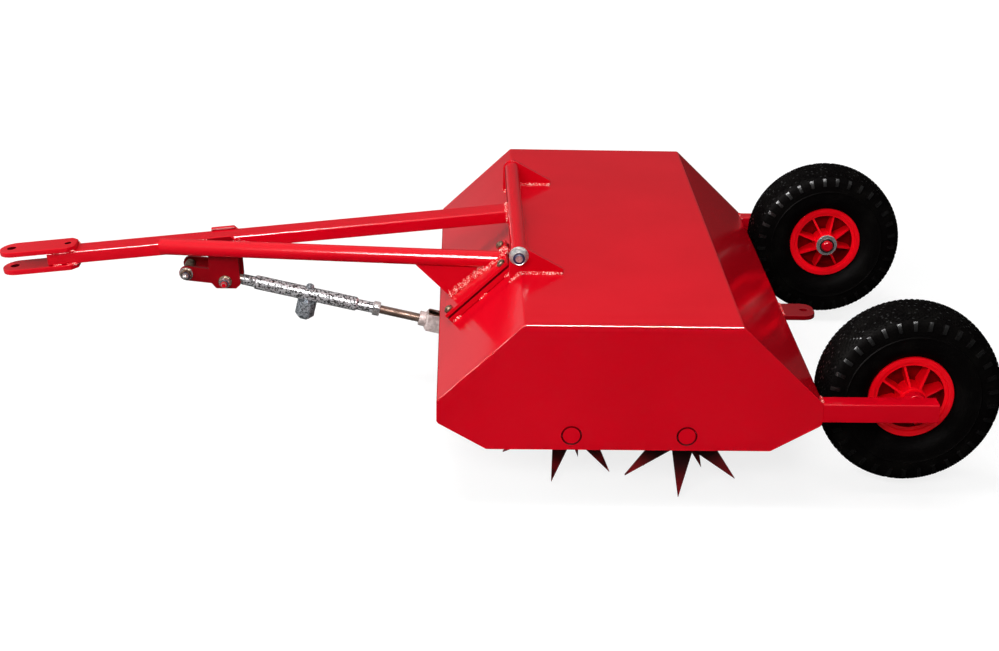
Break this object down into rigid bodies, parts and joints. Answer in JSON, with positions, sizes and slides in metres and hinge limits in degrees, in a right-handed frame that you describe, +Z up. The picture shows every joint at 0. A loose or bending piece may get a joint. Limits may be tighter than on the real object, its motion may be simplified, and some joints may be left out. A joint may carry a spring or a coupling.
{
  "type": "tow-behind dethatcher",
  "caption": "Tow-behind lawn dethatcher: a folded steel hood over two rollers of star tines, with a clevis drawbar that a turnbuckle link tilts and two pneumatic wheels behind.",
  "frame": {"origin": "on the ground under the middle of the machine's bounding box at rest", "axes": "-X is the towing direction and +X the wheel end, -Y the machine's left side, +Z up"},
  "size_m": [1.4694, 0.82, 0.3129],
  "materials": {
    "red_enamel": "glossy red enamel on steel",
    "tine_enamel": "red enamel on steel, duller and darker",
    "rim_plastic": "moulded red plastic",
    "tyre_rubber": "black rubber, satin side walls",
    "bright_zinc": "bright zinc plated steel",
    "galvanised_steel": "mottled galvanised steel",
    "bare_rod": "dull bare steel, slightly brown",
    "bush_nylon": "plain nylon"
  },
  "bodies": {
    "hood": {"hood_sheet": "red_enamel", "end_plate_left": "red_enamel", "end_plate_right": "red_enamel", "pivot_ear_left": "red_enamel", "pivot_ear_right": "red_enamel", "stop_plate": "red_enamel", "top_link_lug": "red_enamel", "rear_hitch_lug": "red_enamel", "wheel_arm_left": "red_enamel", "wheel_arm_right": "red_enamel", "stub_axle_left": "red_enamel", "stub_axle_right": "red_enamel", "hub_washer_left": "bright_zinc", "hub_washer_right": "bright_zinc", "hub_retainer_left": "galvanised_steel", "hub_retainer_right": "galvanised_steel", "pivot_bolt": "bright_zinc", "pivot_washer": "bright_zinc", "pivot_nut": "bright_zinc", "front_axle": "red_enamel", "rear_axle": "red_enamel", "fork_pin": "bright_zinc"},
    "drawbar": {"pivot_tube": "red_enamel", "drawbar_tube": "red_enamel", "drawbar_brace": "red_enamel", "brace_gusset": "red_enamel", "stop_flange": "red_enamel", "stop_bolt_1": "bright_zinc", "stop_bolt_2": "bright_zinc", "stop_bolt_3": "bright_zinc", "stop_bolt_4": "bright_zinc", "clevis_plate_upper": "red_enamel", "clevis_plate_lower": "red_enamel", "bracket_plate_left": "red_enamel", "bracket_plate_right": "red_enamel", "bracket_front_bolt": "bright_zinc", "bracket_front_nut": "bright_zinc", "bracket_rear_bolt": "bright_zinc", "bracket_rear_nut": "bright_zinc", "bracket_spacer": "galvanised_steel"},
    "fork": {"fork_head": "bare_rod", "threaded_rod": "bare_rod"},
    "lock_nut": {"lock_nut": "bright_zinc"},
    "turnbuckle": {"turnbuckle_sleeve": "galvanised_steel", "turnbuckle_knob": "galvanised_steel"},
    "eye_rod": {"eye_rod": "bright_zinc"},
    "front_roller": {"front_star_roller": "tine_enamel", "front_bush_left": "bush_nylon", "front_bush_right": "bush_nylon"},
    "rear_roller": {"rear_star_roller": "tine_enamel", "rear_bush_left": "bush_nylon", "rear_bush_right": "bush_nylon"},
    "left_wheel": {"tyre_left": "tyre_rubber", "rim_left": "rim_plastic", "hub_bush_left_inner": "bush_nylon", "hub_bush_left_outer": "bush_nylon"},
    "right_wheel": {"tyre_right": "tyre_rubber", "rim_right": "rim_plastic", "hub_bush_right_inner": "bush_nylon", "hub_bush_right_outer": "bush_nylon"}
  },
  "joints": [
    {"name": "drawbar_swing", "type": "hinge", "parent": "hood", "child": "drawbar", "pos_m": [0.05539, 0, 0.29886], "axis": [0, 1, 0], "range_deg": [0, 12]},
    {"name": "fork_tilt", "type": "hinge", "parent": "hood", "child": "fork", "pos_m": [-0.04661, 0, 0.10586], "axis": [0, 1, 0], "range_deg": [0, 13.25]},
    {"name": "lock_nut_slide", "type": "slide", "parent": "fork", "child": "lock_nut", "axis": [-0.9756, 0, 0.2196], "range_m": [0, 0.02306]},
    {"name": "turnbuckle_turn", "type": "hinge", "parent": "lock_nut", "child": "turnbuckle", "pos_m": [-0.04661, 0, 0.10586], "axis": [-0.9756, 0, 0.2196], "range_deg": [0, 4081]},
    {"name": "eye_rod_slide", "type": "slide", "parent": "fork", "child": "eye_rod", "axis": [-0.9756, 0, 0.2196], "range_m": [0, 0.04562]},
    {"name": "front_roller_spin", "type": "hinge", "parent": "hood", "child": "front_roller", "pos_m": [0.12619, 0, 0.10996], "axis": [0, 1, 0], "continuous": true},
    {"name": "rear_roller_spin", "type": "hinge", "parent": "hood", "child": "rear_roller", "pos_m": [0.28459, 0, 0.10996], "axis": [0, 1, 0], "continuous": true},
    {"name": "left_wheel_spin", "type": "hinge", "parent": "hood", "child": "left_wheel", "pos_m": [0.60469, -0.3243, 0.14516], "axis": [0, 1, 0], "continuous": true},
    {"name": "right_wheel_spin", "type": "hinge", "parent": "hood", "child": "right_wheel", "pos_m": [0.60469, 0.3243, 0.14516], "axis": [0, 1, 0], "continuous": true}
  ],
  "couplings": [
    {"joint": "fork_tilt", "follows": "drawbar_swing", "ratio": 1.0877},
    {"joint": "lock_nut_slide", "follows": "drawbar_swing", "m_per_rad": 0.10772},
    {"joint": "turnbuckle_turn", "follows": "drawbar_swing", "ratio": 338.4},
    {"joint": "eye_rod_slide", "follows": "drawbar_swing", "m_per_rad": 0.21543}
  ]
}
